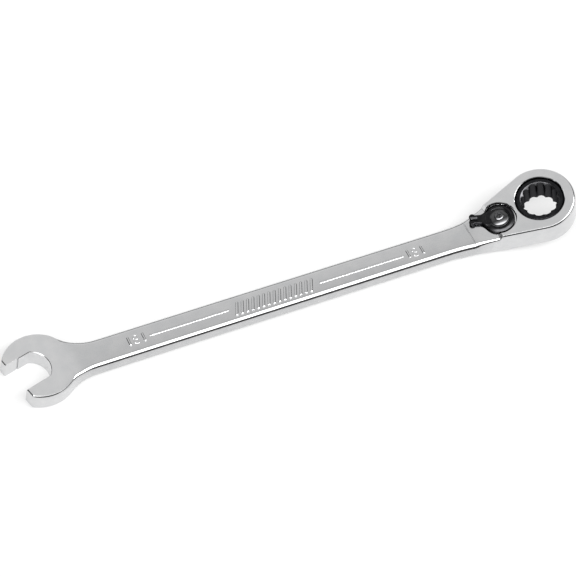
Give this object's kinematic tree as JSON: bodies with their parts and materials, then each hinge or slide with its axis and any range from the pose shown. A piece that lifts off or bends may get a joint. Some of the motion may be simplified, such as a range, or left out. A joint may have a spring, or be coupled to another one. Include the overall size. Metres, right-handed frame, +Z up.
{
  "type": "ratchet wrench",
  "caption": "Slim reversible ratchet combination wrench: angled open jaws at one end, a cranked ring head with a twelve-point ratchet gear and a thumb lever at the other.",
  "frame": {"origin": "on the surface the wrench lies on, under the middle of its bounding box", "axes": "+X along the handle towards the ring end, +Z up, the side with the reversing lever, +Y to the left when looking along +X"},
  "size_m": [0.1506, 0.0192, 0.0126],
  "materials": {
    "body_chrome": "satin chrome plate over forged steel, brighter on the rounded edges",
    "gear_black_oxide": "black oxide on turned and broached steel, rubbed lighter on edges",
    "lever_black": "glossy black plated",
    "screw_black": "black finished, worn bright at the recess",
    "washer_steel": "polished dark steel",
    "pawl_steel": "hardened, oiled",
    "spring_steel": "spring steel",
    "ball_steel": "polished bearing steel"
  },
  "bodies": {
    "wrench": {"wrench_body": "body_chrome", "gear_retaining_ring": "spring_steel"},
    "gear": {"ratchet_gear": "gear_black_oxide"},
    "pawl": {"pawl": "pawl_steel"},
    "lever": {"reversing_lever": "lever_black", "selector_hub": "pawl_steel", "lever_screw": "screw_black", "lever_washer": "washer_steel", "detent_ball": "ball_steel", "detent_spring": "spring_steel"}
  },
  "joints": [
    {"name": "gear_spin", "type": "hinge", "parent": "wrench", "child": "gear", "pos_m": [0.06611, -0.00072, 0.00723], "axis": [-0.2588, 0, 0.9659], "continuous": true},
    {"name": "lever_flip", "type": "hinge", "parent": "wrench", "child": "lever", "pos_m": [0.05519, -0.00072, 0.0043], "axis": [-0.2588, 0, 0.9659], "range_deg": [0, 50]},
    {"name": "pawl_shift", "type": "hinge", "parent": "wrench", "child": "pawl", "pos_m": [0.06611, -0.00072, 0.00723], "axis": [-0.2588, 0, 0.9659], "range_deg": [-12, 0]}
  ],
  "couplings": [
    {"joint": "pawl_shift", "follows": "lever_flip", "ratio": -0.24}
  ]
}
